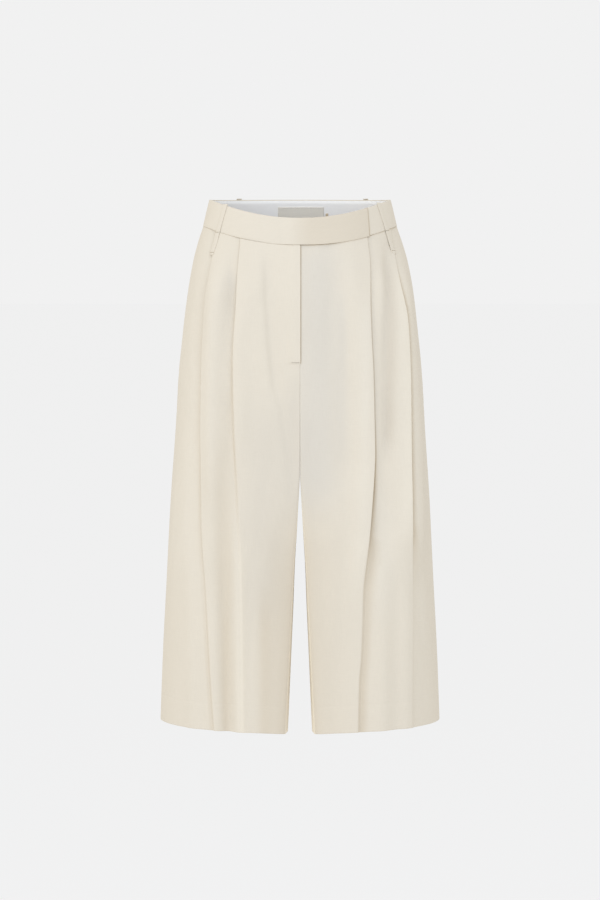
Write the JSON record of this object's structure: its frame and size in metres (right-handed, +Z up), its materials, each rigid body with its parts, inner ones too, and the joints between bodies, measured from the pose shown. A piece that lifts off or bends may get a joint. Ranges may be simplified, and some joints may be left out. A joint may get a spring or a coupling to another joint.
{
  "type": "pleated culottes, filled out as worn",
  "caption": "Wide-leg calf-length culottes with pleated fronts, a fly, belt loops and a shaped waistband that laps over in a square tab, hollow and filled out as if worn.",
  "frame": {"origin": "middle of the waist, at half the height of the waistband at its sides, where the wearer's waist holds the garment", "axes": "+Z up along the wearer, the front faces -Y, the wearer's left is at +X"},
  "size_m": [0.4266, 0.2451, 0.8047],
  "materials": {
    "cloth": "matt fine weave with a slight slub",
    "facing": "matt plain weave",
    "label_weave": "matt woven label, bare",
    "size_tab_weave": "matt woven tab, bare",
    "zip_tape": "matt woven tape"
  },
  "bodies": {
    "root": {"front_right": "cloth", "front_left": "cloth", "back_right": "cloth", "back_left": "cloth", "waistband": "cloth", "waistband_facing": "facing", "label": "label_weave", "size_tab": "size_tab_weave", "belt_loop_front_right": "cloth", "belt_loop_front_left": "cloth", "belt_loop_back_right": "cloth", "belt_loop_back_left": "cloth", "fly_underlap": "cloth", "fly_zip": "zip_tape"}
  },
  "joints": []
}
